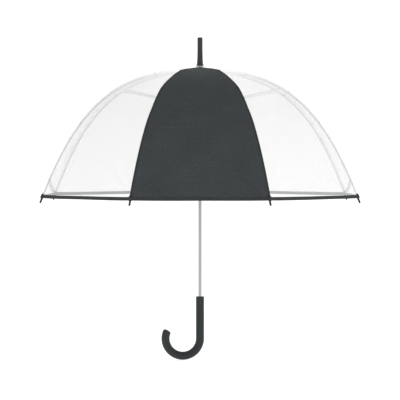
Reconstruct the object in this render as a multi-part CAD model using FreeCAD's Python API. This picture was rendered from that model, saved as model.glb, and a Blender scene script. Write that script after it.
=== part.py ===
import FreeCAD, Part

import math
import os

from FreeCAD import Rotation, Vector

# A manual dome umbrella, open. Millimetres, +Z up, the shaft on the Z axis, the bottom of the
# handle's hook at Z = 0, the opaque panel at the front (-Y) and the hook turned to -X.

# Ribs and panels.
RIBS = 8
HALF_GORE = 180.0 / RIBS
PANEL_NAMES = ("front", "front_right", "right", "rear_right", "rear", "rear_left", "left", "front_left")

# The line of a rib, from its hinge in the crown. It leaves the crown nearly level and hangs
# steeply at the hem, and it bends most a third of the way down.
HINGE_R = 8.0
HINGE_Z = 718.3
CROWN_SLOPE = math.radians(4.7)
HEM_SLOPE = math.radians(67.3)
BEND_PEAK = 190.7
BEND_LENGTH = 575.0
ARCS = 12

ROD_R = 1.5
ROD_START = 7.0
ROD_END = 552.0
EYE_R = 1.6
EYE_THICK = 1.8
EYE_HOLE_R = 0.6
WIRE_R = 0.5
WIRE_FIT = 0.05

TIP_START = 538.5
TIP_END = 558.0
TIP_R = 2.4

# Canopy: the film's outer face stands this far outside the rib's line.
FILM_OFFSET = 2.6
FILM_THICK = 0.5
FILM_GAP = 0.5
FILM_START = 12.0
FILM_END = 537.0
GORE_STEP = 40.0
TOP_HOLE_R = 6.5
TOP_Z = 726.4
PEAK_RISE = 3.6
PEAK_R = 62.0
HEM_START = 537.4
HEM_END = 545.5
HEM_OUT = 0.35
HEM_IN = 0.85
HEM_GAP = 3.2

STRAP_START = 400.0
STRAP_END = 530.0
STRAP_NEAR = 113.0
STRAP_WIDE = 15.0
STRAP_OUT = 1.5
STRAP_IN = 0.5

# Stretchers: U channels, each pinned under its rib and hooked on the runner's wire.
SADDLE_AT = 206.0
PIN_DROP = 4.8
PIN_R = 0.9
PIN_LONG = 5.0
PIN_HOLE_R = 1.0
SADDLE_LONG = 12.0
SADDLE_R = 2.4
SADDLE_TOP = 1.0
EAR_THICK = 1.6
EAR_R = 1.7
CHANNEL_WIDE = 4.0
CHANNEL_HIGH = 3.4
SHEET = 0.5
CHANNEL_FROM = 12.0
WEB_BACK = 3.6
BLADE_THICK = 1.8
BLADE_BACK = 1.4
BLADE_FLOOR = 0.6
BLADE_RISE = 5.2
BLADE_INSIDE = 18.0

# Shaft and what is fixed to it.
SHAFT_R = 4.0
SHAFT_BORE_R = 3.4
SHAFT_BOTTOM = 96.0
SHAFT_TOP = 745.0
SLOT_WIDE = 2.4

CROWN_R = 10.0
CROWN_BOTTOM = 709.5
CROWN_TOP = 724.4
CROWN_SLOT_TOP = 720.2
CROWN_SLOT_R = 5.8

WASHER_BOTTOM = 726.8
WASHER_TOP = 729.9
WASHER_R = 9.8
WASHER_TOP_R = 9.3
WASHER_RIM = 1.6

FERRULE_BOTTOM = WASHER_TOP
FERRULE_TOP = 800.0
FERRULE_FOOT_R = 9.2
FERRULE_FOOT_HIGH = 7.5
FERRULE_FLARE_IN = 0.45
FERRULE_FLARE_AT = 0.4
FERRULE_LOW_R = 7.25
FERRULE_TOP_R = 6.4
FERRULE_SLEEVE = 30.0
FERRULE_EDGE = 1.6

# Runner.
RUNNER_WIRE_R = 10.0
RUNNER_WIRE_Z = 631.0
RUNNER_BORE_R = 4.06
RUNNER_TUBE_R = 7.0
RUNNER_TOP = 634.5
RUNNER_HEAD_R = 13.0
RUNNER_HEAD_BOTTOM = 624.0
RUNNER_SLOT_R = 7.2
RUNNER_BOTTOM = 561.0
RUNNER_SKIRT_R = 9.5
RUNNER_SKIRT_HIGH = 9.0
RUNNER_EDGE = 1.2
KEYWAY_R = 5.95
KEYWAY_WIDE = 2.4

STOP_PIN_R = 1.0
STOP_PIN_LONG = 12.0
STOP_PIN_Z = 636.0

# Catches: flat blades in the rear of the shaft, each with a tooth that a thumb pushes in.
CATCH_THICK = 1.6
CATCH_SLOT_WIDE = 2.0
CATCH_HIGH = 24.0
CATCH_TOOTH_Y = 5.6
CATCH_BACK_Y = 0.3
CATCH_FLUSH_Y = 3.6
CATCH_SLOT_SPARE = 0.6
CATCH_RAMP_FROM = 0.6
CATCH_RAMP_TO = 0.1
UPPER_CATCH_TOP = 560.5
LOWER_CATCH_TOP = 322.0

# Crook handle.
GRIP_R = 10.15
GRIP_TOP = 158.0
GRIP_EDGE = 1.5
CROOK_R = 42.9
CROOK_Z = CROOK_R + GRIP_R
CROOK_TURN = 208.5
CROOK_EDGE = 5.6

# Fits, and how far cutting tools pass the part they cut.
SHAFT_FIT = 0.02
PAST = 1.0
FAR_PAST = 10.0
WEDGE_FAR = 600.0


def placed(shape, azimuth):
    """Turns +X to the direction that lies this many degrees round from the front, towards +X."""
    turned = shape.copy()
    turned.rotate(Vector(0, 0, 0), Vector(0, 0, 1), azimuth - 90.0)
    return turned


def bend_at(s):
    """Curvature of the rib's line at the length s: it rises to a peak and falls again."""
    peak = 2.0 * (HEM_SLOPE - CROWN_SLOPE) / BEND_LENGTH
    if s < BEND_PEAK:
        return peak * s / BEND_PEAK
    return peak * (BEND_LENGTH - s) / (BEND_LENGTH - BEND_PEAK)


def arc_step(r, z, slope, bend, length):
    """Follows one arc of the rib's line and returns its far end and the slope there."""
    turned = slope + bend * length
    if abs(bend) < 1e-9:
        return r + length * math.cos(slope), z - length * math.sin(slope), turned
    far_r = r + (math.sin(turned) - math.sin(slope)) / bend
    far_z = z + (math.cos(turned) - math.cos(slope)) / bend
    return far_r, far_z, turned


def rib_line():
    """The rib's line as arcs: (length to the start, r, z, slope, bend) for each."""
    step = BEND_LENGTH / ARCS
    r, z, slope = HINGE_R, HINGE_Z, CROWN_SLOPE
    arcs = []
    for i in range(ARCS):
        bend = bend_at((i + 0.5) * step)
        arcs.append((i * step, r, z, slope, bend))
        r, z, slope = arc_step(r, z, slope, bend, step)
    return arcs


RIB_LINE = rib_line()


def on_rib(s, outwards=0.0):
    """The point at length s along the rib, moved outwards from its line, and the slope there."""
    step = BEND_LENGTH / ARCS
    start, r, z, slope, bend = RIB_LINE[min(int(s / step), ARCS - 1)]
    r, z, slope = arc_step(r, z, slope, bend, s - start)
    return r + outwards * math.sin(slope), z + outwards * math.cos(slope), slope


def path(s_from, s_to):
    """The rib's line between two lengths, as a wire of arcs in the XZ plane."""
    step = BEND_LENGTH / ARCS
    cuts = [s_from] + [i * step for i in range(1, ARCS) if s_from < i * step < s_to] + [s_to]
    edges = []
    for a, b in zip(cuts, cuts[1:]):
        points = [Vector(on_rib(s)[0], 0, on_rib(s)[1]) for s in (a, (a + b) / 2.0, b)]
        edges.append(Part.Arc(*points).toShape())
    return Part.Wire(edges)


def rod(s_from, s_to, radius):
    """A round rod along the rib's line."""
    r, z, slope = on_rib(s_from)
    ring = Part.makeCircle(radius, Vector(r, 0, z), Vector(math.cos(slope), 0, -math.sin(slope)))
    return path(s_from, s_to).makePipeShell([Part.Wire(ring)], True, False)


def rib_frame(s):
    """A placement whose X runs along the rib towards the hem and whose Z points out of the dome."""
    r, z, slope = on_rib(s)
    return FreeCAD.Placement(Vector(r, 0, z), Rotation(Vector(0, 1, 0), math.degrees(slope)))


def block(x_from, x_to, wide, z_from, z_to):
    return Part.makeBox(x_to - x_from, wide, z_to - z_from, Vector(x_from, -wide / 2.0, z_from))


def bar_across(radius, long, x=0.0, z=0.0):
    """A round bar along Y, centred on the XZ plane."""
    return Part.makeCylinder(radius, long, Vector(x, -long / 2.0, z), Vector(0, 1, 0))


def rib():
    """A rib: a round rod with a flat eye that turns on the crown's wire."""
    eye = block(0, ROD_START + PAST, EYE_THICK, -EYE_R, EYE_R).fuse(bar_across(EYE_R, EYE_THICK))
    eye = eye.cut(bar_across(EYE_HOLE_R, EYE_THICK + PAST))
    eye.Placement = rib_frame(0.0)
    return rod(ROD_START, ROD_END, ROD_R).fuse(eye).removeSplitter()


def rib_tip():
    """A moulded tip that the rib's end is pushed into, with a rounded end."""
    last = TIP_END - TIP_R
    r, z, slope = on_rib(last)
    nose = Part.makeSphere(TIP_R, Vector(r, 0, z))
    body = rod(TIP_START, last, TIP_R).fuse(nose)
    return body.cut(rod(TIP_START - PAST, ROD_END, ROD_R))


def rib_joint():
    """A saddle crimped under the rib, with an ear and the pin that a stretcher turns on."""
    half = SADDLE_LONG / 2.0
    saddle = Part.makeCylinder(SADDLE_R, SADDLE_LONG, Vector(-half, 0, 0), Vector(1, 0, 0))
    saddle = saddle.cut(block(-half - PAST, half + PAST, 3 * SADDLE_R, SADDLE_TOP, SADDLE_R + PAST))
    ear = block(-EAR_R, EAR_R, EAR_THICK, -PIN_DROP, -ROD_R)
    ear = ear.fuse(bar_across(EAR_R, EAR_THICK, z=-PIN_DROP))
    joint = saddle.fuse(ear).fuse(bar_across(PIN_R, PIN_LONG, z=-PIN_DROP))
    joint.Placement = rib_frame(SADDLE_AT)
    return joint.cut(rod(SADDLE_AT - SADDLE_LONG, SADDLE_AT + SADDLE_LONG, ROD_R))


def pin_point():
    """Where a stretcher's pin is, in the rib's plane."""
    r, z, _ = on_rib(SADDLE_AT, -PIN_DROP)
    return Vector(r, 0, z)


def stretcher():
    """A pressed U channel, forked over the saddle's ear, with a blade cradling the runner's wire."""
    foot = Vector(RUNNER_WIRE_R, 0, RUNNER_WIRE_Z)
    run = pin_point() - foot
    long, half = run.Length, CHANNEL_HIGH / 2.0
    channel = block(CHANNEL_FROM, long, CHANNEL_WIDE, -half, half)
    channel = channel.fuse(bar_across(EAR_R, CHANNEL_WIDE, x=long))
    inside = CHANNEL_WIDE - 2.0 * SHEET
    end = long + EAR_R + PAST
    channel = channel.cut(block(CHANNEL_FROM - PAST, end, inside, -half + SHEET, half + PAST))
    channel = channel.cut(block(long - WEB_BACK, end, inside, -half - PAST, half + PAST))
    channel = channel.cut(bar_across(PIN_HOLE_R, CHANNEL_WIDE + PAST, x=long))
    outline = [
        Vector(-BLADE_BACK, 0, -EYE_R),
        Vector(BLADE_INSIDE, 0, -EYE_R),
        Vector(BLADE_INSIDE, 0, EYE_R),
        Vector(BLADE_RISE, 0, EYE_R),
        Vector(WIRE_R / 2.0, 0, -BLADE_FLOOR),
        Vector(-BLADE_BACK, 0, -BLADE_FLOOR),
    ]
    blade = Part.Face(Part.makePolygon(outline + outline[:1])).extrude(Vector(0, BLADE_THICK, 0))
    blade.translate(Vector(0, -BLADE_THICK / 2.0, 0))
    whole = channel.fuse(blade).removeSplitter()
    rise = math.degrees(math.atan2(run.z, run.x))
    whole.Placement = FreeCAD.Placement(foot, Rotation(Vector(0, 1, 0), -rise))
    return whole


def peak(r):
    """How far the crown and washer lift the canopy above the ribs, near the shaft."""
    return PEAK_RISE * max(0.0, 1.0 - (r / PEAK_R) ** 2)


def gore_curve(s_from, s_to, outwards):
    """The middle line of a panel that is straight from rib to rib, in the XZ plane."""
    count = max(3, int((s_to - s_from) / GORE_STEP) + 2)
    middle = math.cos(math.radians(HALF_GORE))
    points = []
    for i in range(count):
        r, z, slope = on_rib(s_from + (s_to - s_from) * i / (count - 1), FILM_OFFSET)
        z += peak(r)
        lean = math.atan2(math.sin(slope), math.cos(slope) * middle)
        across, up = outwards * math.sin(lean), outwards * math.cos(lean)
        points.append(Vector(r * middle + across, 0, z + up))
    curve = Part.BSplineCurve()
    curve.interpolate(points)
    return curve.toShape(), points


def gore_strip(s_from, s_to, out, back, y_from, y_to, to_top=False):
    """A sheet between two offsets from the film's outer face, straight across from rib to rib."""
    outer, outer_points = gore_curve(s_from, s_to, out)
    inner, inner_points = gore_curve(s_from, s_to, back)
    edges = [outer, Part.makeLine(outer_points[-1], inner_points[-1]), inner]
    if to_top:
        edge_r = TOP_HOLE_R * math.cos(math.radians(HALF_GORE))
        top = Vector(edge_r, 0, TOP_Z)
        below = Vector(edge_r, 0, TOP_Z - FILM_THICK)
        edges += [Part.makeLine(a, b) for a, b in ((inner_points[0], below), (below, top))]
        edges.append(Part.makeLine(top, outer_points[0]))
    else:
        edges.append(Part.makeLine(inner_points[0], outer_points[0]))
    face = Part.Face(Part.Wire(Part.__sortEdges__(edges)))
    sheet = face.extrude(Vector(0, y_to - y_from, 0))
    sheet.translate(Vector(0, y_from, 0))
    return sheet


def between_ribs(gap):
    """The wedge between two ribs' planes, drawn in from each by a gap."""
    half = math.radians(HALF_GORE)
    tip = Vector(gap / math.sin(half), 0, 0)
    side = WEDGE_FAR * math.tan(half)
    outline = [tip, tip + Vector(WEDGE_FAR, -side, 0), tip + Vector(WEDGE_FAR, side, 0), tip]
    return Part.Face(Part.makePolygon(outline)).extrude(Vector(0, 0, FERRULE_TOP))


def panel():
    half_width = (HINGE_R + BEND_LENGTH) * math.sin(math.radians(HALF_GORE))
    sheet = gore_strip(FILM_START, FILM_END, 0.0, -FILM_THICK, -half_width, half_width, to_top=True)
    return sheet.common(between_ribs(FILM_GAP))


def hem():
    """The binding folded over a panel's lower edge."""
    half_width = (HINGE_R + BEND_LENGTH) * math.sin(math.radians(HALF_GORE))
    sheet = gore_strip(HEM_START, HEM_END, HEM_OUT, -HEM_IN, -half_width, half_width)
    return sheet.common(between_ribs(HEM_GAP))


def closing_strap():
    """A strap that hangs outside the rear panel, sewn in beside a rib."""
    return gore_strip(STRAP_START, STRAP_END, STRAP_OUT, STRAP_IN, STRAP_NEAR, STRAP_NEAR + STRAP_WIDE)


def turned_profile(points):
    """A solid of revolution about Z from (r, z) points."""
    corners = [Vector(r, 0, z) for r, z in points]
    return Part.Face(Part.makePolygon(corners + corners[:1])).revolve(Vector(0, 0, 0), Vector(0, 0, 1), 360)


def radial_slots(wide, r_from, r_to, z_from, z_to):
    first = block(r_from, r_to, wide, z_from, z_to)
    slots = [placed(first, HALF_GORE + 2 * HALF_GORE * i) for i in range(RIBS)]
    return Part.makeCompound(slots)


def wire_ring(ring_r, z):
    return Part.makeTorus(ring_r, WIRE_R, Vector(0, 0, z))


def crown():
    """The notched crown that the ribs hinge in."""
    body = Part.makeCylinder(CROWN_R, CROWN_TOP - CROWN_BOTTOM, Vector(0, 0, CROWN_BOTTOM))
    body = body.cut(Part.makeCylinder(SHAFT_R + SHAFT_FIT, CROWN_TOP, Vector(0, 0, PAST)))
    bottom = CROWN_BOTTOM - PAST
    body = body.cut(radial_slots(SLOT_WIDE, CROWN_SLOT_R, CROWN_R + PAST, bottom, CROWN_SLOT_TOP))
    half = WIRE_R + WIRE_FIT
    groove = Part.makeCylinder(CROWN_R + PAST, 2 * half, Vector(0, 0, HINGE_Z - half))
    return body.cut(groove.cut(Part.makeCylinder(HINGE_R - half, CROWN_TOP)))


def ferrule():
    """The long ferrule over the shaft's top, waisted above a flared foot."""
    foot_top = FERRULE_BOTTOM + FERRULE_FOOT_HIGH
    sleeve_top = FERRULE_TOP - FERRULE_SLEEVE
    outline = [
        Vector(0, 0, FERRULE_BOTTOM),
        Vector(FERRULE_FOOT_R, 0, FERRULE_BOTTOM),
        Vector(FERRULE_LOW_R, 0, foot_top),
        Vector(FERRULE_TOP_R, 0, sleeve_top),
        Vector(FERRULE_TOP_R, 0, FERRULE_TOP - FERRULE_EDGE),
        Vector(FERRULE_TOP_R - FERRULE_EDGE, 0, FERRULE_TOP),
        Vector(0, 0, FERRULE_TOP),
    ]
    flare_r = (FERRULE_FOOT_R + FERRULE_LOW_R) / 2.0 - FERRULE_FLARE_IN
    flare_middle = Vector(flare_r, 0, FERRULE_BOTTOM + FERRULE_FLARE_AT * FERRULE_FOOT_HIGH)
    edge_turn = FERRULE_EDGE * (1.0 - math.sqrt(0.5))
    edge_middle = Vector(FERRULE_TOP_R - edge_turn, 0, FERRULE_TOP - edge_turn)
    edges = [
        Part.makeLine(outline[0], outline[1]),
        Part.Arc(outline[1], flare_middle, outline[2]).toShape(),
        Part.makeLine(outline[2], outline[3]),
        Part.makeLine(outline[3], outline[4]),
        Part.Arc(outline[4], edge_middle, outline[5]).toShape(),
        Part.makeLine(outline[5], outline[6]),
        Part.makeLine(outline[6], outline[0]),
    ]
    body = Part.Face(Part.Wire(edges)).revolve(Vector(0, 0, 0), Vector(0, 0, 1), 360)
    return body.cut(Part.makeCylinder(SHAFT_R + SHAFT_FIT, SHAFT_TOP))


def ferrule_washer():
    """The clear cup washer that the ferrule clamps on the canopy."""
    bore = SHAFT_R + SHAFT_FIT
    return turned_profile(
        [(bore, WASHER_BOTTOM), (WASHER_R, WASHER_BOTTOM), (WASHER_R, WASHER_BOTTOM + WASHER_RIM),
         (WASHER_TOP_R, WASHER_TOP), (bore, WASHER_TOP)]
    )


def catch_slot(top):
    long = CATCH_HIGH + 2.0 * CATCH_SLOT_SPARE
    corner = Vector(-CATCH_SLOT_WIDE / 2.0, 0, top + CATCH_SLOT_SPARE - long)
    return Part.makeBox(CATCH_SLOT_WIDE, SHAFT_R + PAST, long, corner)


def shaft_tube():
    tube = Part.makeCylinder(SHAFT_R, SHAFT_TOP - SHAFT_BOTTOM, Vector(0, 0, SHAFT_BOTTOM))
    tube = tube.cut(Part.makeCylinder(SHAFT_BORE_R, SHAFT_TOP + PAST))
    for top in (UPPER_CATCH_TOP, LOWER_CATCH_TOP):
        tube = tube.cut(catch_slot(top))
    start = Vector(-FAR_PAST, 0, STOP_PIN_Z)
    return tube.cut(Part.makeCylinder(STOP_PIN_R + SHAFT_FIT, 2 * FAR_PAST, start, Vector(1, 0, 0)))


def stop_pin():
    half = STOP_PIN_LONG / 2.0
    return Part.makeCylinder(STOP_PIN_R, STOP_PIN_LONG, Vector(-half, 0, STOP_PIN_Z), Vector(1, 0, 0))


def catch(top):
    """A spring blade with a wedge tooth, upright in the shaft's rear slot."""
    bottom = top - CATCH_HIGH
    outline = [
        Vector(0, CATCH_BACK_Y, bottom),
        Vector(0, CATCH_FLUSH_Y, bottom),
        Vector(0, CATCH_FLUSH_Y, top - CATCH_RAMP_FROM * CATCH_HIGH),
        Vector(0, CATCH_TOOTH_Y, top - CATCH_RAMP_TO * CATCH_HIGH),
        Vector(0, CATCH_TOOTH_Y, top),
        Vector(0, CATCH_BACK_Y, top),
    ]
    blade = Part.Face(Part.makePolygon(outline + outline[:1])).extrude(Vector(CATCH_THICK, 0, 0))
    blade.translate(Vector(-CATCH_THICK / 2.0, 0, 0))
    return blade


def runner():
    """The sliding runner: a toothed head for the stretchers, a tube and a skirt to push on."""
    skirt_top = RUNNER_BOTTOM + RUNNER_SKIRT_HIGH
    body = turned_profile(
        [
            (RUNNER_BORE_R, RUNNER_BOTTOM),
            (RUNNER_SKIRT_R - RUNNER_EDGE, RUNNER_BOTTOM),
            (RUNNER_SKIRT_R, RUNNER_BOTTOM + RUNNER_EDGE),
            (RUNNER_SKIRT_R, skirt_top - RUNNER_EDGE),
            (RUNNER_TUBE_R, skirt_top + RUNNER_EDGE),
            (RUNNER_TUBE_R, RUNNER_HEAD_BOTTOM),
            (RUNNER_HEAD_R - RUNNER_EDGE, RUNNER_HEAD_BOTTOM),
            (RUNNER_HEAD_R, RUNNER_HEAD_BOTTOM + RUNNER_EDGE),
            (RUNNER_HEAD_R, RUNNER_TOP - RUNNER_EDGE),
            (RUNNER_HEAD_R - RUNNER_EDGE, RUNNER_TOP),
            (RUNNER_BORE_R, RUNNER_TOP),
        ]
    )
    bottom, top = RUNNER_HEAD_BOTTOM - PAST, RUNNER_TOP + PAST
    body = body.cut(radial_slots(SLOT_WIDE, RUNNER_SLOT_R, RUNNER_HEAD_R + PAST, bottom, top))
    half = WIRE_R + WIRE_FIT
    ring = Part.makeCylinder(RUNNER_WIRE_R + half, FAR_PAST, Vector(0, 0, RUNNER_WIRE_Z - half))
    body = body.cut(ring.cut(Part.makeCylinder(RUNNER_WIRE_R - half, top)))
    return body.cut(block(0, KEYWAY_R, KEYWAY_WIDE, 0, top).rotated(Vector(), Vector(0, 0, 1), 90))


def handle():
    """The crook: a straight grip and most of a turn of the same section, with a rounded-off end."""
    grip = Part.makeCylinder(GRIP_R, GRIP_TOP - CROOK_Z, Vector(0, 0, CROOK_Z))
    grip = grip.makeFillet(GRIP_EDGE, [e for e in grip.Edges if e.BoundBox.ZMin > GRIP_TOP - 1])
    ring = Part.Face(Part.Wire(Part.makeCircle(GRIP_R, Vector(0, 0, CROOK_Z), Vector(0, 0, 1))))
    centre = Vector(-CROOK_R, 0, CROOK_Z)
    crook = ring.revolve(centre, Vector(0, 1, 0), CROOK_TURN)
    turn = math.radians(CROOK_TURN)
    end = centre + Vector(CROOK_R * math.cos(turn), 0, -CROOK_R * math.sin(turn))
    rim = [e for e in crook.Edges if e.Length > GRIP_R and (e.CenterOfMass - end).Length < 0.1]
    crook = crook.makeFillet(CROOK_EDGE, rim)
    bore = Part.makeCylinder(SHAFT_R + SHAFT_FIT, GRIP_TOP, Vector(0, 0, SHAFT_BOTTOM))
    return grip.fuse(crook).removeSplitter().cut(bore)


def solids():
    """Every node's name and shape."""
    nodes = {
        "shaft_tube": shaft_tube(),
        "crown": crown(),
        "crown_wire": wire_ring(HINGE_R, HINGE_Z),
        "ferrule": ferrule(),
        "ferrule_washer": ferrule_washer(),
        "stop_pin": stop_pin(),
        "handle": handle(),
        "runner": runner(),
        "runner_wire": wire_ring(RUNNER_WIRE_R, RUNNER_WIRE_Z),
        "upper_catch": catch(UPPER_CATCH_TOP),
        "lower_catch": catch(LOWER_CATCH_TOP),
    }
    per_rib = {"rib": rib(), "rib_tip": rib_tip(), "rib_joint": rib_joint(), "stretcher": stretcher()}
    for i in range(RIBS):
        for name, shape in per_rib.items():
            nodes[f"{name}_{i + 1}"] = placed(shape, HALF_GORE + 2 * HALF_GORE * i)
    per_panel = {"panel": panel(), "hem": hem()}
    for i, place in enumerate(PANEL_NAMES):
        for name, shape in per_panel.items():
            nodes[f"{name}_{place}"] = placed(shape, 2 * HALF_GORE * i)
    nodes["closing_strap"] = placed(closing_strap(), 2 * HALF_GORE * PANEL_NAMES.index("rear"))
    return nodes


os.makedirs("parts", exist_ok=True)
for node, shape in solids().items():
    shape.exportStep(f"parts/{node}.step")
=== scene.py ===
import math
import random

import bpy
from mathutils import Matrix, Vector


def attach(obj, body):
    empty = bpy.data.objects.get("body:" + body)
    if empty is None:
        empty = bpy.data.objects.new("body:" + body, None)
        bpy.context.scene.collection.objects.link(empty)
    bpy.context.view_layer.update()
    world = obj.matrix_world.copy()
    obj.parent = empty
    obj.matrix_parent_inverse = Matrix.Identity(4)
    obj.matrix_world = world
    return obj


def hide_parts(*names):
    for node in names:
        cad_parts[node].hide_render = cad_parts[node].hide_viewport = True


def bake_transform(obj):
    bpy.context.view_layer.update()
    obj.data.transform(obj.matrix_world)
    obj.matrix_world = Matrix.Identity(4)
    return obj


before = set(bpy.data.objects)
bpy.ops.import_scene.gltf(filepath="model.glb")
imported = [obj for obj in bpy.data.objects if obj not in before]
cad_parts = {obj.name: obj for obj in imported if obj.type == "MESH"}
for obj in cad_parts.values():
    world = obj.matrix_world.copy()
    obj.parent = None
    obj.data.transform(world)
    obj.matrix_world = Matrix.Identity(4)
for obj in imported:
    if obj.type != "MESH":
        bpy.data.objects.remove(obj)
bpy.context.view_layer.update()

# ----------------
# Sizes, in metres. The rib's line is the CAD's: nearly level at the crown, steep at the hem, and
# bent most a third of the way along it. Angles round the shaft are counted from the front (-Y) towards +X.
# ----------------
MM = 0.001
RIBS = 8
HALF_GORE = math.pi / RIBS
PLACES = ("front", "front_right", "right", "rear_right", "rear", "rear_left", "left", "front_left")

HINGE_R = 8.0 * MM
HINGE_Z = 718.3 * MM
CROWN_SLOPE = math.radians(4.7)
HEM_SLOPE = math.radians(67.3)
BEND_PEAK = 190.7 * MM
BEND_LENGTH = 575.0 * MM
ARCS = 12

ROD_R = 1.5 * MM
ROD_START = 6.6 * MM
ROD_END = 552.0 * MM
ROD_ROWS = 170
ROD_POINTS = 20
EYE_R = 1.6 * MM
EYE_HALF = 0.9 * MM
EYE_HOLE_R = 0.6 * MM
EYE_POINTS = 24
NECK_START = 0.6 * MM
NECK_END = 8.0 * MM
NECK_HALF = 0.99 * EYE_HALF
NECK_R = 0.86 * EYE_R

FILM_OFFSET = 2.6 * MM
FILM_START = 12.0 * MM
FILM_END = 541.0 * MM
TOP_HOLE_R = 6.5 * MM
TOP_Z = 726.4 * MM
PEAK_RISE = 5.2 * MM
PEAK_R = 300.0 * MM
HEM_START = 537.4 * MM
HEM_END = 545.5 * MM
HEM_SAG = 0.8 * MM
SAG_FROM = 430.0 * MM
CLOTH_THICK = 0.35 * MM

# Where the seams are tied to the ribs, and how far the cloth's seams stand proud there.
TIES = (
    (112.0 * MM, 4.4 * MM),
    (232.0 * MM, 4.6 * MM),
    (340.0 * MM, 1.3 * MM),
    (385.0 * MM, 0.5 * MM),
)
TIE_REACH = 75.0 * MM

# How far the film stands off the ribs at most. A lower power moves the fullest part up.
BULGE = 2.4 * MM
BULGE_POWER = 0.8

# The crease across the foot of the left and right panels. It climbs from the rear rib to the front one.
# The film is hollow FOLD_WIDE about it. In a narrower band about it the film carries painted shade: grey
# and more opaque, the more so at grazing angles, standing in for the shade in the crease.
FOLD_RISE = 40.0 * MM
FOLD_POWER = 1.5
FOLD_DEEP = 3.0 * MM
FOLD_WIDE = 7.0 * MM
CREASE_SHADE_WIDE = 6.0 * MM
CREASE_SHADE_VEIL = 0.11
CREASE_SHADE_EDGE = 1.2
CREASE_SHADE_TONE = (0.18, 0.185, 0.182, 1.0)

STRAP_START = 400.0 * MM
STRAP_END = 530.0 * MM
STRAP_NEAR = 113.0 * MM
STRAP_WIDE = 15.0 * MM
STRAP_THICK = 0.5 * MM
STRAP_LIFT = 1.15 * MM
STRAP_CUP = 0.18 * MM
STRAP_WAVES = ((0.35 * MM, math.pi), (0.12 * MM, 9.0))
STRAP_ROWS = 60
STRAP_COLUMNS = 9

SHAFT_R = 4.0 * MM
SHAFT_BORE_R = 3.4 * MM
SHAFT_BOTTOM = 96.0 * MM
SHAFT_TOP = 745.0 * MM
SLOT_HALF = 1.0 * MM
SLOTS = ((535.9 * MM, 561.1 * MM), (297.4 * MM, 322.6 * MM))

GRIP_R = 10.15 * MM
GRIP_TOP = 158.0 * MM
GRIP_EDGE = 1.5 * MM
CROOK_R = 42.9 * MM
CROOK_Z = CROOK_R + GRIP_R
CROOK_TURN = math.radians(208.5)
CROOK_EDGE = 5.6 * MM
HANDLE_ROWS = 150
HANDLE_POINTS = 72
SOCKET_R = 4.05 * MM
SOCKET_DEEP = 8.0 * MM
SOCKET_LIP_R = 6.0 * MM


def bend_at(s):
    """Curvature of the rib's line at the length s."""
    peak = 2.0 * (HEM_SLOPE - CROWN_SLOPE) / BEND_LENGTH
    if s < BEND_PEAK:
        return peak * s / BEND_PEAK
    return peak * (BEND_LENGTH - s) / (BEND_LENGTH - BEND_PEAK)


def arc_step(r, z, slope, bend, length):
    """The end of an arc that starts at (r, z, slope)."""
    turned = slope + bend * length
    far_r = r + (math.sin(turned) - math.sin(slope)) / bend
    far_z = z + (math.cos(turned) - math.cos(slope)) / bend
    return far_r, far_z, turned


def rib_line():
    """The rib's line as arcs: (length where it starts, r, z, slope, bend) of each."""
    step = BEND_LENGTH / ARCS
    r, z, slope = HINGE_R, HINGE_Z, CROWN_SLOPE
    arcs = []
    for i in range(ARCS):
        bend = bend_at((i + 0.5) * step)
        arcs.append((i * step, r, z, slope, bend))
        r, z, slope = arc_step(r, z, slope, bend, step)
    return arcs


RIB_LINE = rib_line()


def on_rib(s, outwards=0.0):
    """(r, z, slope) at the length s along a rib, moved outwards from its line."""
    step = BEND_LENGTH / ARCS
    start, r, z, slope, bend = RIB_LINE[max(0, min(int(s / step), ARCS - 1))]
    r, z, slope = arc_step(r, z, slope, bend, s - start)
    return r + outwards * math.sin(slope), z + outwards * math.cos(slope), slope


def out_dir(angle):
    """Away from the shaft, at this angle from the front."""
    return Vector((math.sin(angle), -math.cos(angle), 0.0))


def round_dir(angle):
    """Round the shaft, the way that angles grow."""
    return Vector((math.cos(angle), math.sin(angle), 0.0))


def rib_angle(number):
    """The angle of rib 1 to 8. Ribs 1 and 8 are on both sides of the front panel."""
    return (2 * number - 1) * HALF_GORE


UP = Vector((0.0, 0.0, 1.0))


def smooth(t):
    """Eases from 0 to 1."""
    t = max(0.0, min(1.0, t))
    return t * t * (3.0 - 2.0 * t)


# ----------------
# Mesh helpers
# ----------------
def grid_faces(rows, cols, base=0, wrap=False, flip=False):
    """Quads of a grid of points written row by row."""
    faces = []
    for i in range(rows - 1):
        for j in range(cols if wrap else cols - 1):
            a = base + i * cols + j
            b = base + i * cols + (j + 1) % cols
            quad = (a, b, b + cols, a + cols)
            faces.append(quad[::-1] if flip else quad)
    return faces


def make(name, points, faces, material, uvs=None, slots=None):
    """A smooth mesh object. uvs has one pair a point, slots one material index a face."""
    mesh = bpy.data.meshes.new(name)
    mesh.from_pydata([tuple(p) for p in points], [], faces)
    mesh.update()
    if uvs:
        layer = mesh.uv_layers.new(name="UVMap")
        for loop in mesh.loops:
            layer.data[loop.index].uv = uvs[loop.vertex_index]
    mesh.polygons.foreach_set("use_smooth", [True] * len(mesh.polygons))
    obj = bpy.data.objects.new(name, mesh)
    bpy.context.collection.objects.link(obj)
    for one in material if isinstance(material, (list, tuple)) else [material]:
        mesh.materials.append(one)
    if slots:
        mesh.polygons.foreach_set("material_index", slots)
    return obj


def turns(count):
    """The angles of points spread evenly round a circle."""
    return [2.0 * math.pi * k / count for k in range(count)]


def ring(centre, side, top, count, side_r, top_r=None):
    """Points round an ellipse in the plane of side and top."""
    top_r = side_r if top_r is None else top_r
    return [centre + side * (side_r * math.cos(t)) + top * (top_r * math.sin(t)) for t in turns(count)]


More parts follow.
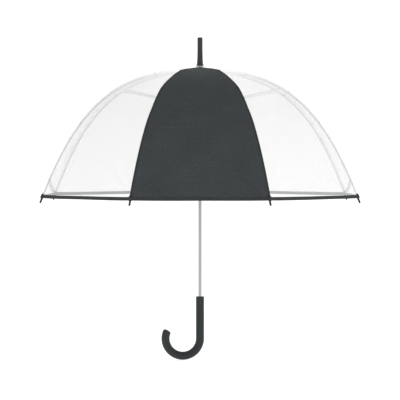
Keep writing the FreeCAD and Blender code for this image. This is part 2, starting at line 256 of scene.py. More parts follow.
def loft(rings):
    """Points and faces of a closed tube through equal rings, its ends closed by their middles."""
    count = len(rings[0])
    points = [p for one in rings for p in one]
    faces = grid_faces(len(rings), count, wrap=True)
    middle, last = len(points), (len(rings) - 1) * count
    points += [sum(rings[0], Vector()) / count, sum(rings[-1], Vector()) / count]
    faces += [(middle, (k + 1) % count, k) for k in range(count)]
    faces += [(middle + 1, last + k, last + (k + 1) % count) for k in range(count)]
    return points, faces


def add_mesh(points, faces, more):
    """Adds more, another piece's points and faces, and returns how many of each there were."""
    more_points, more_faces = more
    base = len(points)
    points += more_points
    faces += [tuple(base + k for k in face) for face in more_faces]
    return len(more_points), len(more_faces)


def lathe(profile, count=96):
    """Points and faces of a closed (r, z) outline turned about the shaft's axis."""
    points = []
    for r, z in profile:
        points += [Vector((r * math.cos(t), r * math.sin(t), z)) for t in turns(count)]
    faces = grid_faces(len(profile), count, wrap=True)
    last = (len(profile) - 1) * count
    faces += [(last + k, last + (k + 1) % count, (k + 1) % count, k) for k in range(count)]
    return points, faces


def rounded(profile, edge, steps=5):
    """An (r, z) outline with its corners rounded off to the radius edge."""
    out = []
    count = len(profile)
    for i, (r, z) in enumerate(profile):
        here = Vector((r, z))
        back = Vector(profile[i - 1]) - here
        on = Vector(profile[(i + 1) % count]) - here
        cut = min(edge, back.length / 2.2, on.length / 2.2)
        a, b = here + back.normalized() * cut, here + on.normalized() * cut
        for k in range(steps + 1):
            t = k / steps
            out.append(tuple(a * (1 - t) ** 2 + here * (2 * t * (1 - t)) + b * t ** 2))
    return out


def sharpen(obj, angle=35.0):
    """Keeps real corners crisp and round faces smooth."""
    for polygon in obj.data.polygons:
        polygon.use_smooth = True
    obj.data.set_sharp_from_angle(angle=math.radians(angle))


# ----------------
# Materials
# ----------------
class Nodes:
    """A material and a short way to add and join its nodes."""

    def __init__(self, name):
        self.material = bpy.data.materials.new(name)
        self.material.use_nodes = True
        self.tree = self.material.node_tree
        self.shader = self.tree.nodes["Principled BSDF"]

    def set(self, **values):
        for name, value in values.items():
            self.shader.inputs[name.replace("_", " ")].default_value = value

    def add(self, kind, inputs=None, **properties):
        node = self.tree.nodes.new(kind)
        for name, value in properties.items():
            setattr(node, name, value)
        for name, value in (inputs or {}).items():
            self.plug(value, node.inputs[name])
        return node

    def plug(self, value, socket):
        if isinstance(value, bpy.types.NodeSocket):
            self.tree.links.new(value, socket)
        else:
            socket.default_value = value

    def maths(self, operation, a, b=0.0):
        node = self.add("ShaderNodeMath", operation=operation)
        self.plug(a, node.inputs[0])
        self.plug(b, node.inputs[1])
        return node.outputs[0]

    def noise(self, where, scale, detail=2.0, roughness=0.5):
        inputs = {"Vector": where, "Scale": scale, "Detail": detail, "Roughness": roughness}
        return self.add("ShaderNodeTexNoise", inputs).outputs["Fac"]

    def spread(self, fac, low, high):
        """fac, from 0 to 1, spread between two numbers."""
        node = self.add("ShaderNodeMapRange", {"Value": fac, "To Min": low, "To Max": high})
        return node.outputs["Result"]

    def ramp(self, fac, *stops):
        node = self.add("ShaderNodeValToRGB", {"Fac": fac})
        elements = node.color_ramp.elements
        while len(elements) < len(stops):
            elements.new(0.5)
        for element, (at, colour) in zip(elements, stops):
            element.position = at
            element.color = (*colour, 1.0)
        return node.outputs["Color"]

    def bump(self, height, strength, distance, after=None):
        inputs = {"Height": height, "Strength": strength, "Distance": distance}
        if after:
            inputs["Normal"] = after
        return self.add("ShaderNodeBump", inputs).outputs["Normal"]

    def to(self, socket, value):
        self.plug(value, self.shader.inputs[socket])


def place_of(n, space):
    """Where a point is, in a space such as UV or Object."""
    return n.add("ShaderNodeTexCoord").outputs[space]


def stretched(n, where, scale):
    """A place scaled along its axes, so that a noise read there is drawn out."""
    return n.add("ShaderNodeMapping", {"Vector": where, "Scale": scale}).outputs["Vector"]


def film_material(name, alpha, colour, haze, crease=False):
    """Clear film with a faint white haze: a fine orange peel, scuffs and, where asked for, painted shade
    along a crease, where the film is grey and more opaque.
    """
    n = Nodes(name)
    n.set(IOR=1.46, Specular_IOR_Level=0.5)
    where = place_of(n, "UV")
    broad = n.noise(where, 9.0, 3.0)
    tone = n.ramp(broad, (0.3, colour), (0.7, tuple(c * 0.985 for c in colour)))
    scuffs = n.noise(where, 55.0, 5.0, 0.65)
    n.to("Roughness", n.spread(scuffs, 0.08, 0.24))
    veil = n.maths("ADD", n.spread(broad, alpha - haze, alpha + haze), n.spread(scuffs, -0.015, 0.015))
    edge = n.add("ShaderNodeLayerWeight", {"Blend": 0.5}).outputs["Facing"]
    edge = n.maths("MULTIPLY", n.maths("POWER", edge, 3.0), 0.42)
    veil = n.maths("ADD", veil, edge)
    # Painted shade: along the crease the film is mixed to a dark grey and made more opaque, the more so at
    # grazing angles.
    if crease:
        shade_mask = crease_shade_mask(n, where)
        shade_opacity = n.maths("ADD", n.maths("MULTIPLY", edge, CREASE_SHADE_EDGE), CREASE_SHADE_VEIL)
        veil = n.maths("ADD", veil, n.maths("MULTIPLY", shade_mask, shade_opacity))
        grey = {"Fac": shade_mask, "Color1": tone, "Color2": CREASE_SHADE_TONE}
        tone = n.add("ShaderNodeMixRGB", grey).outputs["Color"]
    n.to("Base Color", tone)
    n.to("Alpha", veil)
    peel = n.bump(n.noise(where, 420.0, 2.0), 0.12, 0.0004)
    n.to("Normal", n.bump(broad, 0.5, 0.0015, peel))
    return n.material


def crease_shade_mask(n, where):
    """Where the painted shade lies: 1 along the crease at the foot of a side panel, and 0 away from it."""
    parts = n.add("ShaderNodeSeparateXYZ", {"Vector": where})
    width = 2.0 * on_rib(HEM_START - FOLD_RISE)[0] * math.sin(HALF_GORE)
    front = n.maths("ADD", n.maths("DIVIDE", parts.outputs["X"], width), 0.5)
    rise = n.maths("POWER", n.maths("MAXIMUM", front, 0.0), FOLD_POWER)
    line = n.maths("SUBTRACT", HEM_START, n.maths("MULTIPLY", rise, FOLD_RISE))
    off = n.maths("DIVIDE", n.maths("SUBTRACT", parts.outputs["Y"], line), CREASE_SHADE_WIDE)
    return n.maths("EXPONENT", n.maths("MULTIPLY", n.maths("MULTIPLY", off, off), -1.0))


def woven_material(name, dark, light, pitch, roughness, sheen):
    """Plain weave on UVs in metres, pitch metres a thread, with slubs and a soft bloom."""
    n = Nodes(name)
    n.set(Sheen_Weight=sheen, Sheen_Roughness=0.45, Specular_IOR_Level=0.10)
    where = place_of(n, "UV")
    parts = n.add("ShaderNodeSeparateXYZ", {"Vector": where})
    across = n.maths("SINE", n.maths("MULTIPLY", parts.outputs["X"], 2.0 * math.pi / pitch))
    along = n.maths("SINE", n.maths("MULTIPLY", parts.outputs["Y"], 2.0 * math.pi / pitch))
    weave = n.maths("MULTIPLY", across, along)
    slubs = n.noise(where, 160.0, 4.0, 0.7)
    streaks = n.noise(stretched(n, where, (6.0, 220.0, 1.0)), 1.0, 3.0, 0.6)
    cloud = n.noise(where, 14.0, 2.0)
    tone = n.maths("ADD", n.maths("MULTIPLY", weave, 0.08), n.maths("MULTIPLY", slubs, 0.54))
    tone = n.maths("ADD", tone, n.maths("MULTIPLY", streaks, 0.18))
    tone = n.maths("ADD", tone, n.maths("MULTIPLY", cloud, 0.28))
    n.to("Base Color", n.ramp(tone, (0.36, dark), (0.66, light)))
    n.to("Roughness", n.spread(slubs, roughness - 0.07, roughness + 0.08))
    fine = n.bump(weave, 0.35, 0.00018)
    n.to("Normal", n.bump(tone, 0.22, 0.0003, fine))
    return n.material


def ribbed_material(name, dark, light, pitch):
    """Grosgrain tape: fine ribs across it and a little fuzz."""
    n = Nodes(name)
    n.set(Sheen_Weight=0.04, Sheen_Roughness=0.4, Specular_IOR_Level=0.22)
    where = place_of(n, "UV")
    parts = n.add("ShaderNodeSeparateXYZ", {"Vector": where})
    ribs = n.maths("SINE", n.maths("MULTIPLY", parts.outputs["X"], 2.0 * math.pi / pitch))
    fuzz = n.noise(where, 300.0, 4.0, 0.7)
    cloud = n.noise(where, 25.0, 2.0)
    tone = n.maths("ADD", n.maths("MULTIPLY", fuzz, 0.5), n.maths("MULTIPLY", cloud, 0.5))
    n.to("Base Color", n.ramp(tone, (0.35, dark), (0.65, light)))
    n.to("Roughness", n.spread(fuzz, 0.62, 0.82))
    n.to("Normal", n.bump(fuzz, 0.2, 0.0002, n.bump(ribs, 0.5, 0.0002)))
    return n.material


def plastic_material(name, dark, light, roughness, grain=900.0):
    """Moulded plastic: a very fine spark-eroded grain, faint handling wear in the gloss."""
    n = Nodes(name)
    n.set(Specular_IOR_Level=0.22)
    where = place_of(n, "Object")
    wear = n.noise(where, 38.0, 4.0, 0.6)
    n.to("Base Color", n.ramp(wear, (0.35, dark), (0.7, light)))
    n.to("Roughness", n.spread(wear, roughness - 0.06, roughness + 0.08))
    n.to("Normal", n.bump(n.noise(where, grain, 3.0), 0.16, 0.0002))
    return n.material


def metal_material(name, dark, light, rough_low, rough_high, along=(1.0, 1.0, 1.0), scale=60.0):
    """Metal with drawing marks that run along a part."""
    n = Nodes(name)
    n.set(Metallic=1.0)
    where = stretched(n, place_of(n, "Object"), along)
    marks = n.noise(where, scale, 5.0, 0.65)
    n.to("Base Color", n.ramp(marks, (0.3, dark), (0.7, light)))
    n.to("Roughness", n.spread(marks, rough_low, rough_high))
    n.to("Normal", n.bump(marks, 0.06, 0.0002))
    return n.material


def stage_material():
    """A bright paper sweep."""
    n = Nodes("paper_sweep")
    n.set(Roughness=0.95, Specular_IOR_Level=0.1, Emission_Color=(1.0, 1.0, 1.0, 1.0))
    n.set(Emission_Strength=0.74)
    fibre = n.noise(place_of(n, "Object"), 30.0, 3.0)
    n.to("Base Color", n.ramp(fibre, (0.3, (0.56, 0.56, 0.56)), (0.7, (0.58, 0.58, 0.58))))
    return n.material


FILM_TONE = (0.93, 0.933, 0.926)
FILM = film_material("clear_film", 0.48, FILM_TONE, 0.03)
# The left and right panels' film, with painted shade along the crease at its foot.
CREASE_SHADED_FILM = film_material("film_painted_crease_shade", 0.48, FILM_TONE, 0.03, crease=True)
SEAM_FILM = film_material("welded_film_seam", 0.30, (0.86, 0.87, 0.865), 0.02)
CLOTH = woven_material(
    "charcoal_cloth", (0.048, 0.054, 0.057), (0.067, 0.076, 0.079), 0.00055, 0.80, 0.02
)
TAPE = ribbed_material("charcoal_tape", (0.033, 0.038, 0.040), (0.048, 0.054, 0.057), 0.0009)
STRAP_TAPE = ribbed_material("charcoal_strap", (0.020, 0.024, 0.025), (0.032, 0.037, 0.039), 0.0008)
THREAD = plastic_material(
    "charcoal_thread", (0.014, 0.018, 0.019), (0.024, 0.028, 0.030), 0.7, 2600.0
)
PALE_THREAD = plastic_material("pale_thread", (0.55, 0.56, 0.55), (0.66, 0.67, 0.66), 0.55, 2600.0)
HANDLE = plastic_material("satin_handle", (0.024, 0.028, 0.0305), (0.030, 0.0345, 0.037), 0.46)
FERRULE = plastic_material("satin_ferrule", (0.038, 0.043, 0.044), (0.048, 0.053, 0.054), 0.54)
MOULDED = plastic_material("dark_moulding", (0.020, 0.024, 0.026), (0.030, 0.034, 0.036), 0.45)
TIP = plastic_material("tip_moulding", (0.020, 0.024, 0.026), (0.030, 0.034, 0.036), 0.42)
CLEAR_CUP = film_material("clear_cup", 0.55, (0.62, 0.65, 0.64), 0.03)
CHROME = metal_material(
    "chromed_tube", (0.36, 0.37, 0.37), (0.43, 0.44, 0.445), 0.14, 0.22, (1.0, 1.0, 0.02), 900.0
)
RIB_STEEL = metal_material("rib_wire", (0.52, 0.53, 0.54), (0.62, 0.63, 0.64), 0.28, 0.42, scale=220.0)
STRETCHER_PAINT = plastic_material(
    "stretcher_paint", (0.86, 0.87, 0.87), (0.94, 0.95, 0.95), 0.40, 1200.0
)
SPRING_STEEL = metal_material(
    "spring_steel", (0.38, 0.38, 0.37), (0.50, 0.50, 0.49), 0.2, 0.34, scale=500.0
)
SNAP = metal_material("snap_metal", (0.10, 0.105, 0.11), (0.16, 0.165, 0.17), 0.25, 0.4, scale=700.0)

# ----------------
# The canopy. Each panel is a half on each side of its crease.
# ----------------
ROWS = 100
FOOT_ROWS = 24
FOOT_START = 485.0 * MM
COLUMNS = 30
HOLLOW = 2.2 * MM
RIPPLE = 0.45 * MM
FAN = 0.55 * MM
FAN_AT = 62.0 * MM
FAN_REACH = 48.0 * MM
FAN_CREASES = 13.0

# The waves in a panel: size, waves down it and waves across it. The last is a product of two.
WAVES = ((1.0, 5.1, 2.2), (0.7, 9.7, -3.1), (0.5, 17.0, 4.3), (0.35, 0.0, 6.0))
PUCKER = (0.3, 31.0, 2.0, 7.0)


def bulge(s):
    """How far the clear film and its seams stand off a rib: most two fifths of the way along it."""
    return BULGE * math.sin(math.pi * min(max(s, 0.0) / HEM_START, 1.0) ** BULGE_POWER)


def film_line(s):
    """(r, z, slope) of the film's outer face above a rib, up to the hole for the shaft at 0."""
    if s >= FILM_START:
        r, z, slope = on_rib(s, FILM_OFFSET + bulge(s))
        return r, z + PEAK_RISE * max(0.0, 1.0 - r / PEAK_R) ** 2, slope
    far_r, far_z, _ = film_line(FILM_START)
    t = s / FILM_START
    slope = math.atan2(TOP_Z - far_z, far_r - TOP_HOLE_R)
    return TOP_HOLE_R + (far_r - TOP_HOLE_R) * t, TOP_Z + (far_z - TOP_Z) * t, slope


def half_width(s):
    """Half of the distance between two ribs."""
    return film_line(s)[0] * math.sin(HALF_GORE)


def rib_beside(place, side):
    """The number of the rib on the -1 or +1 side of a panel."""
    return place + 1 if side > 0 else (place - 1) % RIBS + 1


def tie_rise(number, s):
    """How far a cloth seam stands proud where it is tied, so that it runs straight between ties."""
    if number not in (1, RIBS):
        return 0.0
    return max(rise * max(0.0, 1.0 - abs(s - tie) / TIE_REACH) for tie, rise in TIES) - bulge(s)


def corner_fan(place, side, u, s):
    """Creases that fan out of a panel's lower corner."""
    across = (1.0 - abs(u)) * half_width(s)
    up = HEM_START - s
    away = math.hypot(across, up)
    if away < 1e-6 or away > FAN_AT + 3.0 * FAN_REACH:
        return 0.0
    angle = math.atan2(max(up, 0.0), across)
    fade = math.exp(-(((away - FAN_AT) / FAN_REACH) ** 2)) * math.sin(2.0 * angle)
    return FAN * fade * math.sin(FAN_CREASES * angle + 1.7 * place + 0.9 * side)


def phases(place):
    """Where each wave in a panel starts."""
    chance = random.Random(40 + place)
    return [chance.uniform(0.0, 2.0 * math.pi) for _ in range(len(WAVES) + 2)]


PHASES = [phases(place) for place in range(RIBS)]


def ripple(place, u, s):
    """Slow waves in a panel that is stretched over its ribs."""
    *starts, first, second = PHASES[place]
    t = s / HEM_END
    waves = 0.0
    for (size, down, across), start in zip(WAVES, starts):
        waves += size * math.sin(down * t + across * u + start)
    size, down, across, other = PUCKER
    waves += size * math.sin(down * t + across * u + first) * math.sin(other * u + second)
    return RIPPLE * waves * (1.0 - u * u) ** 2 * smooth(t * 4.0)


# The panels with a crease, and the side of each that is nearer the front.
CREASED = {PLACES.index("left"): 1, PLACES.index("right"): -1}


def side_fold(place, u, s):
    """The crease that slack film makes across the foot of the left and right panels."""
    if place not in CREASED:
        return 0.0
    front = (1.0 + CREASED[place] * u) / 2.0
    off = (s - HEM_START + FOLD_RISE * front ** FOLD_POWER) / FOLD_WIDE
    return -FOLD_DEEP * math.exp(-off * off) * smooth(min(1.0 - abs(u), 0.25) * 4.0)


def panel_normal(place, slope):
    """The way out of a panel where the ribs beside it have this slope."""
    lean = math.atan2(math.sin(slope), math.cos(slope) * math.cos(HALF_GORE))
    return out_dir(2 * HALF_GORE * place) * math.sin(lean) + UP * math.cos(lean)


def film_point(place, u, s, lift=0.0):
    """The film's outer face, u from -1 to 1 between its ribs, s from the crown to the hem."""
    angle = 2 * HALF_GORE * place
    sag = HEM_SAG * (1.0 - abs(u) ** 5) * smooth((s - SAG_FROM) / (HEM_START - SAG_FROM))
    r, z, slope = film_line(s + sag)
    point = out_dir(angle) * (r * math.cos(HALF_GORE)) + round_dir(angle) * (r * math.sin(HALF_GORE) * u)
    side = 1 if u > 0 else -1
    shape = -HOLLOW * (1.0 - u * u) * math.sin(math.pi * min(1.0, s / (1.03 * HEM_END)))
    shape += ripple(place, u, s) + corner_fan(place, 1, u, s) * (u > 0)
    shape += corner_fan(place, -1, u, s) * (u < 0)
    shape += tie_rise(rib_beside(place, side), s) * abs(u) ** 12 + side_fold(place, u, s)
    return point + UP * z + panel_normal(place, slope) * (shape + lift)


def across_halves():
    """Every half panel: its place and name, its side, the rib there and the body at its crease."""
    for place, name in enumerate(PLACES):
        for side in (-1, 1):
            rib = rib_beside(place, side)
            body = f"panel_{name}" if side < 0 else f"hem_{name}"
            yield place, name, side, rib, body


def fold(obj, body, place, weights):
    """Bakes the piece's placement into its mesh; it does not curl the piece. weights, from 0 at its rib to
    1 at the panel's crease, is not used.
    """
    crease = film_point(place, 0.0, HEM_START)
    edge = film_point(place, 1.0 if body.startswith("hem") else -1.0, HEM_START)
    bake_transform(obj)


def rows_of_film():
    """Lengths down the film: close together near the crown and the hem."""
    cap = [FILM_START * i / 6 for i in range(6)]
    rest = [FILM_START + (FOOT_START - FILM_START) * (i / ROWS) for i in range(ROWS)]
    foot = [FOOT_START + (FILM_END - FOOT_START) * (i / FOOT_ROWS) for i in range(FOOT_ROWS + 1)]
    return cap + rest + foot


def sheet_area(points, rows, cols):
    """The area of a grid of points."""
    area = 0.0
    for i in range(rows - 1):
        for j in range(cols - 1):
            a, b = points[i * cols + j], points[i * cols + j + 1]
            c, d = points[(i + 1) * cols + j + 1], points[(i + 1) * cols + j]
            area += ((c - a).cross(d - b)).length / 2.0
    return area


def half_panel(place, name, side, body):
    """The sheet from a rib to its panel's crease, and its area."""
    lengths = rows_of_film()
    us = [side * (1.0 - j / COLUMNS) for j in range(COLUMNS + 1)]
    points = [film_point(place, u, s) for s in lengths for u in us]
    uvs = [(CREASED.get(place, 1) * u * half_width(s), s) for s in lengths for u in us]
    weights = [1.0 - abs(u) for _ in lengths for u in us]
    rows, cols = len(lengths), len(us)
    faces = grid_faces(rows, cols, flip=side < 0)
    area = sheet_area(points, rows, cols)
    cloth = place == 0
    if cloth:
        base = len(points)
        for i, s in enumerate(lengths):
            under = panel_normal(place, film_line(s)[2]) * CLOTH_THICK
            points += [p - under for p in points[i * cols:(i + 1) * cols]]
        uvs += uvs
        weights += weights
        faces += grid_faces(rows, cols, base=base, flip=side > 0)
        faces += rim_faces(rows, cols, base, side)
    label = "a" if side < 0 else "b"
    kind = "cloth" if cloth else "film"
    material = CLOTH if cloth else CREASE_SHADED_FILM if place in CREASED else FILM
    obj = make(f"{kind}_{name}_{label}", points, faces, material, uvs)
    if cloth:
        sharpen(obj, 50.0)
    if side < 0:
        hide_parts(f"panel_{name}")
    fold(obj, body, place, weights)
    return obj, area


def rim_faces(rows, cols, base, side):
    """The edges that close a sheet with a thickness. base is the first point of its other face."""
    edges = []
    for i in range(rows - 1):
        edges.append((i * cols, (i + 1) * cols, side > 0))
        edges.append((i * cols + cols - 1, (i + 1) * cols + cols - 1, side < 0))
    last = (rows - 1) * cols
    for j in range(cols - 1):
        edges.append((j, j + 1, side < 0))
        edges.append((last + j, last + j + 1, side > 0))
    return [
        (a, b, base + b, base + a) if turned else (a, base + a, base + b, b)
        for a, b, turned in edges
    ]


# The binding over the lower edge, in mm: length below its top edge, height above the film.
BINDING = (
    (0.0, -0.25), (0.1, 0.16), (0.6, 0.36), (2.2, 0.38), (4.2, 0.44), (6.2, 0.52),
    (7.6, 0.50), (8.3, 0.30), (8.6, -0.15), (8.5, -0.62), (7.9, -0.92), (6.4, -1.04),
    (4.2, -0.94), (2.2, -0.86), (0.6, -0.84), (0.1, -0.62),
)
BINDING_GAP = 2.5 * MM
BINDING_COLUMNS = 44
BINDING_SWELL = 0.06
BINDING_SWELLS = 37.0
STITCH_LONG = 2.4 * MM
STITCH_STEP = 3.4 * MM
STITCH_R = 0.17 * MM
STITCH_DOWN = 1.5 * MM


def stitch(start, end, normal):
    """A short thread that rises out of the cloth and goes back in: points and faces."""
    side = (end - start).cross(normal).normalized()
    rings = []
    for k in range(5):
        t = k / 4
        rise = STITCH_R * (1.5 * math.sin(math.pi * t) - 0.35)
        size = STITCH_R * (0.55 + 0.45 * math.sin(math.pi * t))
        rings.append(ring(start.lerp(end, t) + normal * rise, side, normal, 6, size))
    return loft(rings)


def half_binding(place, name, side, body):
    """The binding along a half panel's lower edge, with its stitches."""
    span = half_width(HEM_START)
    top_u = 1.0 - BINDING_GAP / span
    us = [side * top_u * (1.0 - j / BINDING_COLUMNS) for j in range(BINDING_COLUMNS + 1)]
    points, uvs, weights = [], [], []
    for u in us:
        swell = 1.0 + BINDING_SWELL * math.sin(BINDING_SWELLS * u + place)
        for i, (down, lift) in enumerate(BINDING):
            points.append(film_point(place, u, HEM_START + down * MM, lift * MM * swell))
            uvs.append((u * span, i * 0.0011))
            weights.append(1.0 - abs(u))
    count = len(BINDING)
    faces = grid_faces(len(us), count, wrap=True, flip=side > 0)
    middle = len(points)
    points.append(sum(points[:count], Vector()) / count)
    uvs.append((us[0] * span, 0.0))
    weights.append(1.0 - abs(us[0]))
    end = [(middle, k, (k + 1) % count) for k in range(count)]
    faces += end if side > 0 else [face[::-1] for face in end]
    slots = [0] * len(faces)
    along = 0.5 * STITCH_STEP
    while along + STITCH_LONG < span * top_u:
        ends = [side * (top_u - (along + d) / span) for d in (0.0, STITCH_LONG)]
        for lift, outwards in ((0.36, 1.0), (-0.86, -1.0)):
            a, b = (film_point(place, u, HEM_START + STITCH_DOWN, lift * MM) for u in ends)
            normal = panel_normal(place, film_line(HEM_START)[2]) * outwards
            new_points, new_faces = add_mesh(points, faces, stitch(a, b, normal))
            slots += [1] * new_faces
            uvs += [(ends[0] * span, 0.0)] * new_points
            weights += [1.0 - abs(ends[0])] * new_points
        along += STITCH_STEP
    label = "a" if side < 0 else "b"
    obj = make(f"binding_{name}_{label}", points, faces, [TAPE, THREAD], uvs, slots)
    if side > 0:
        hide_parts(f"hem_{name}")
    fold(obj, body, place, weights)
    return obj


PANEL_FLAT = (half_width(HEM_START) + 1.0 * MM, FILM_END)
for _place, _name, _side, _rib, _body in across_halves():
    _half, _area = half_panel(_place, _name, _side, _body)
    _binding = half_binding(_place, _name, _side, _body)

# ----------------
# Seams along the ribs, the pockets at the tips and the ties
# ----------------
SEAM_START = 15.0 * MM
SEAM_END = 536.0 * MM
SEAM_HALF = 1.7 * MM
SEAM_HALF_CLOTH = 3.0 * MM
SEAM_ROWS = 150
SEAM_THICK = 0.3 * MM
SEAM_COLUMNS = (-1.0, -0.75, -0.5, -0.25, -0.1, 0.1, 0.25, 0.5, 0.75, 1.0)
SEAM_LIFT = 0.12 * MM
SEAM_RIDGE = 0.28 * MM
SEAM_GROOVE = 0.25 * MM
SEAM_GROOVE_EDGE = 0.3
SEAM_STITCHES = 0.62
SEAM_STITCH_LIFT = 0.24 * MM


def seam_point(number, across, s, lift):
    """A point of the canopy beside a rib, across metres from it, lifted off the film."""
    part = abs(across) / half_width(s)
    place, u = (number - 1, 1.0 - part) if across < 0 else (number % RIBS, part - 1.0)
    return film_point(place, u, s, lift)


def seam_lift(c):
    """A seam's height above the film: a low ridge with a groove along its middle at c = 0."""
    groove = SEAM_GROOVE * max(0.0, SEAM_GROOVE_EDGE - abs(c))
    return SEAM_LIFT + SEAM_RIDGE * (1.0 - abs(c)) - groove


def rib_normal(number, slope):
    """The way out of the dome at a rib."""
    return out_dir(rib_angle(number)) * math.sin(slope) + UP * math.cos(slope)


def seam(number):
    """A strip over the join of two panels: clear between films, charcoal beside the cloth."""
    dark = number in (1, RIBS)
    half = SEAM_HALF_CLOTH if dark else SEAM_HALF
    points, uvs = [], []
    for i in range(SEAM_ROWS + 1):
        s = SEAM_START + (SEAM_END - SEAM_START) * i / SEAM_ROWS
        for c in SEAM_COLUMNS:
            points.append(seam_point(number, c * half, s, seam_lift(c)))
            uvs.append((c * half, s))
    rows, cols = SEAM_ROWS + 1, len(SEAM_COLUMNS)
    faces = grid_faces(rows, cols, flip=True)
    slots = []
    if dark:
        base = len(points)
        points += [
            p - rib_normal(number, film_line(s)[2]) * SEAM_THICK for p, (_, s) in zip(points, uvs)
        ]
        uvs += uvs
        faces += grid_faces(rows, cols, base=base) + rim_faces(rows, cols, base, 1)
        slots = [0] * len(faces)
        for c in (-SEAM_STITCHES, SEAM_STITCHES):
            place = number - 1 if c < 0 else number % RIBS
            s = SEAM_START + 3.0 * MM
            while s + STITCH_LONG < SEAM_END:
                ends = [
                    seam_point(number, c * half, at, SEAM_STITCH_LIFT) for at in (s, s + STITCH_LONG)
                ]
                normal = panel_normal(place, film_line(s)[2])
                new_points, new_faces = add_mesh(points, faces, stitch(*ends, normal))
                slots += [1] * new_faces
                uvs += [(0.0, s)] * new_points
                s += STITCH_STEP
    obj = make(f"seam_{number}", points, faces, [TAPE, THREAD] if dark else SEAM_FILM, uvs, slots)
    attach(obj, f"rib_{number}")


def rib_axes(number, s, outwards=0.0):
    """A point on a rib's line, and the directions along it, across it and out of the dome."""
    angle = rib_angle(number)
    r, z, slope = on_rib(s, outwards)
    along = out_dir(angle) * math.cos(slope) - UP * math.sin(slope)
    return out_dir(angle) * r + UP * z, along, round_dir(angle), rib_normal(number, slope)


# The tip pocket's sections, in mm: length along the rib, half width, half height, height above
# the rib. Then where thread is wrapped round it.
POCKET = (
    (533.9, 0.6, 0.5, 2.3), (534.3, 2.4, 1.3, 2.2), (535.6, 3.6, 2.4, 1.9),
    (538.0, 4.3, 3.3, 1.5), (541.0, 4.6, 3.8, 1.4), (544.0, 4.3, 3.7, 1.2),
    (545.6, 3.7, 3.3, 0.8), (546.4, 3.1, 2.9, 0.4), (546.7, 2.55, 2.55, 0.0),
)
POCKET_WRAPS = (537.6, 539.2, 543.4)
POCKET_POINTS = 28
WRAP_UP = 1.0 * MM
WRAP_WIDE = 4.4 * MM
WRAP_HIGH = 3.7 * MM
WRAP_THREAD = 0.22 * MM


def tip_pocket(number):
    """The folded and sewn corner of the hem that the rib's tip sits in."""
    rings, uvs = [], []
    for s, wide, high, lift in POCKET:
        at, _, across, out = rib_axes(number, s * MM, lift * MM)
        rings.append(ring(at, across, out, POCKET_POINTS, wide * MM, high * MM))
        uvs += [(k * 0.0008, s * MM) for k in range(POCKET_POINTS)]
    points, faces = loft(rings)
    uvs += [(0.0, 0.0)] * 2
    slots = [0] * len(faces)
    for s in POCKET_WRAPS:
        at, _, across, out = rib_axes(number, s * MM, WRAP_UP)
        wrap = torus(at, across, out, WRAP_WIDE, WRAP_HIGH, WRAP_THREAD)
        new_points, new_faces = add_mesh(points, faces, wrap)
        uvs += [(0.0, 0.0)] * new_points
        slots += [1] * new_faces
    obj = make(f"tip_pocket_{number}", points, faces, [TAPE, THREAD], uvs, slots)
    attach(obj, f"rib_{number}")


def torus(centre, side, top, side_r, top_r, thread):
    """A loop of thread in the plane of side and top."""
    axis = side.cross(top).normalized()
    count, points = 36, []
    for turn in turns(count):
        away = side * (side_r * math.cos(turn)) + top * (top_r * math.sin(turn))
        points += ring(centre + away, away.normalized(), axis, 8, thread)
    faces = grid_faces(count, 8, wrap=True, flip=True)
    last = (count - 1) * 8
    faces += [(k, (k + 1) % 8, last + (k + 1) % 8, last + k) for k in range(8)]
    return points, faces


TIE_TURNS = (-0.55 * MM, 0.0, 0.5 * MM)
TIE_UP = 0.75 * MM
TIE_WIDE = 2.05 * MM
TIE_HIGH = 2.55 * MM
TIE_THREAD = 0.2 * MM


def ties(number):
    """Threads that hold the seam to its rib."""
    points, faces = [], []
    for tie, _ in TIES:
        proud = (tie_rise(number, tie) + film_line(tie)[1] - on_rib(tie, FILM_OFFSET)[1]) / 2.0
        for step in TIE_TURNS:
            at, _, across, out = rib_axes(number, tie + step, TIE_UP)
            loop = torus(at + out * proud, across, out, TIE_WIDE, TIE_HIGH + proud, TIE_THREAD)
            add_mesh(points, faces, loop)
    obj = make(f"ties_{number}", points, faces, THREAD if number in (1, RIBS) else PALE_THREAD)
    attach(obj, f"rib_{number}")


# ----------------
# Ribs, shaft, handle, ferrule and washer, as finer meshes of the CAD's own shapes
# ----------------
def rib_eye(number):
    """The flat eye that turns on the crown's wire."""
    at, along, across, out = rib_axes(number, 0.0)
    points, faces = [], []
    for side in (-EYE_HALF, EYE_HALF):
        for radius in (EYE_R, EYE_HOLE_R):
            points += ring(at + across * side, along, out, EYE_POINTS, radius)
    low, low_in, high, high_in = (i * EYE_POINTS for i in range(4))
    for k in range(EYE_POINTS):
        m = (k + 1) % EYE_POINTS
        faces.append((low + k, low_in + k, low_in + m, low + m))
        faces.append((high + k, high + m, high_in + m, high_in + k))
        faces.append((low + k, low + m, high + m, high + k))
        faces.append((low_in + k, high_in + k, high_in + m, low_in + m))
    return points, faces


def rib_neck(number):
    """The flat bar between the eye and the rod."""
    points = []
    for s in (NECK_START, NECK_END):
        at, _, across, out = rib_axes(number, s)
        for a, b in ((-1, -1), (1, -1), (1, 1), (-1, 1)):
            points.append(at + across * (a * NECK_HALF) + out * (b * NECK_R))
    faces = [(3, 2, 1, 0), (4, 5, 6, 7), (0, 1, 5, 4), (1, 2, 6, 5), (2, 3, 7, 6), (3, 0, 4, 7)]
    return points, faces


def rib(number):
    """A round rod with its neck and its eye."""
    rings = []
    for i in range(ROD_ROWS + 1):
        at, _, across, out = rib_axes(number, ROD_START + (ROD_END - ROD_START) * i / ROD_ROWS)
        rings.append(ring(at, across, out, ROD_POINTS, ROD_R))
    points, faces = loft(rings)
    add_mesh(points, faces, rib_eye(number))
    add_mesh(points, faces, rib_neck(number))
    obj = make(f"rib_rod_{number}", points, faces, RIB_STEEL)
    sharpen(obj, 40.0)
    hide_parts(f"rib_{number}")
    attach(obj, f"rib_{number}")


